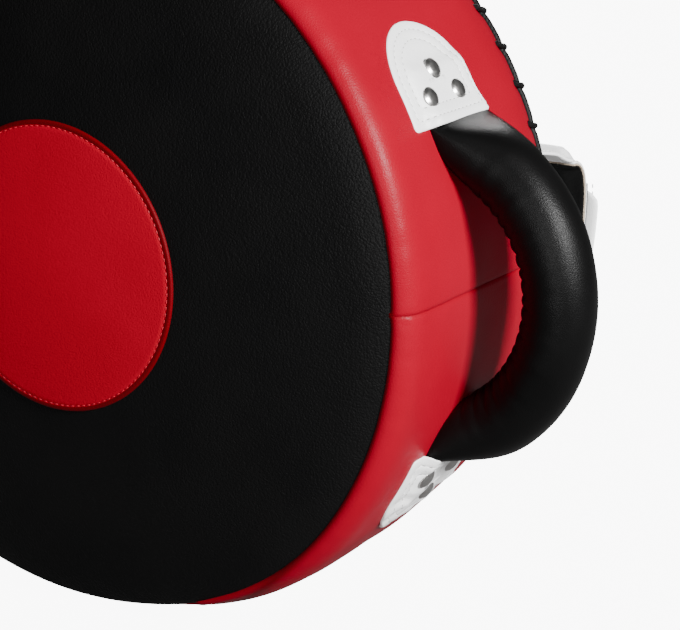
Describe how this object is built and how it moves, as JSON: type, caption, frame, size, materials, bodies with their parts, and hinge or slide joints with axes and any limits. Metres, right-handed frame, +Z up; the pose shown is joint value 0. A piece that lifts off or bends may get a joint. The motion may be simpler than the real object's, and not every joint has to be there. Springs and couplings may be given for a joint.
{
  "type": "round punch shield",
  "caption": "Round foam-filled leather punch shield with padded side handles, a rear hand grip and a closable forearm strap.",
  "frame": {"origin": "middle of the back panel's outer face, where the holder's forearm lies", "axes": "+Y out of the back panel towards the holder, so the strike face looks along -Y; +Z up along the handles; +X to the right as the puncher sees it"},
  "size_m": [0.4722, 0.2406, 0.36],
  "materials": {
    "red_leather": "smooth satin leather, bright red",
    "black_leather": "fine-grained satin leather, black",
    "white_leather": "smooth satin leather, white",
    "nickel_rivet": "polished nickel plate",
    "black_cord": "waxed lacing cord, black",
    "black_webbing": "woven webbing and hook-and-loop tape, black",
    "fibre_board": "plain grey fibre board",
    "foam": "closed-cell foam"
  },
  "bodies": {
    "pad": {"back_grip_lower_end": "black_leather", "back_grip_lower_rivet_1": "nickel_rivet", "back_grip_lower_rivet_2": "nickel_rivet", "back_grip_lower_tab": "white_leather", "back_grip_upper_end": "black_leather", "back_grip_upper_rivet_1": "nickel_rivet", "back_grip_upper_rivet_2": "nickel_rivet", "back_grip_upper_tab": "white_leather", "back_panel": "black_leather", "closure_strap_tab": "white_leather", "core_foam": "foam", "forearm_strap_cover": "white_leather", "forearm_strap_foam": "foam", "forearm_strap_lining": "black_leather", "forearm_strap_lower_rivet_1": "nickel_rivet", "forearm_strap_lower_rivet_2": "nickel_rivet", "forearm_strap_upper_rivet_1": "nickel_rivet", "forearm_strap_upper_rivet_2": "nickel_rivet", "front_panel": "black_leather", "left_handle_backing": "black_webbing", "left_handle_lower_end": "black_leather", "left_handle_lower_rivet_1": "nickel_rivet", "left_handle_lower_rivet_2": "nickel_rivet", "left_handle_lower_rivet_3": "nickel_rivet", "left_handle_lower_tab": "white_leather", "left_handle_upper_end": "black_leather", "left_handle_upper_rivet_1": "nickel_rivet", "left_handle_upper_rivet_2": "nickel_rivet", "left_handle_upper_rivet_3": "nickel_rivet", "left_handle_upper_tab": "white_leather", "loop_fastener": "black_webbing", "rear_backing_board": "fibre_board", "rear_foam": "foam", "rear_lace": "black_cord", "right_handle_backing": "black_webbing", "right_handle_lower_end": "black_leather", "right_handle_lower_rivet_1": "nickel_rivet", "right_handle_lower_rivet_2": "nickel_rivet", "right_handle_lower_rivet_3": "nickel_rivet", "right_handle_lower_tab": "white_leather", "right_handle_upper_end": "black_leather", "right_handle_upper_rivet_1": "nickel_rivet", "right_handle_upper_rivet_2": "nickel_rivet", "right_handle_upper_rivet_3": "nickel_rivet", "right_handle_upper_tab": "white_leather", "strike_foam": "foam", "target_patch": "red_leather", "wall_lower": "red_leather", "wall_upper": "red_leather"},
    "right_grip": {"right_handle_sleeve": "black_leather", "right_handle_foam": "foam", "right_handle_webbing": "black_webbing"},
    "left_grip": {"left_handle_sleeve": "black_leather", "left_handle_foam": "foam", "left_handle_webbing": "black_webbing"},
    "back_grip": {"back_grip_sleeve": "black_leather", "back_grip_foam": "foam", "back_grip_webbing": "black_webbing"},
    "closure": {"closure_strap": "white_leather", "hook_fastener": "black_webbing"}
  },
  "joints": [
    {"name": "right_grip_swing", "type": "hinge", "parent": "pad", "child": "right_grip", "pos_m": [0.172, -0.071, 0], "axis": [0, 0, 1], "range_deg": [-20, 20]},
    {"name": "left_grip_swing", "type": "hinge", "parent": "pad", "child": "left_grip", "pos_m": [-0.172, -0.071, 0], "axis": [0, 0, 1], "range_deg": [-20, 20]},
    {"name": "back_grip_swing", "type": "hinge", "parent": "pad", "child": "back_grip", "pos_m": [-0.095, 0.008, 0], "axis": [0, 0, 1], "range_deg": [-25, 25]},
    {"name": "closure_open", "type": "hinge", "parent": "pad", "child": "closure", "pos_m": [0.1175, 0.0055, -0.044], "axis": [-1, 0, 0], "range_deg": [0, 70]}
  ]
}
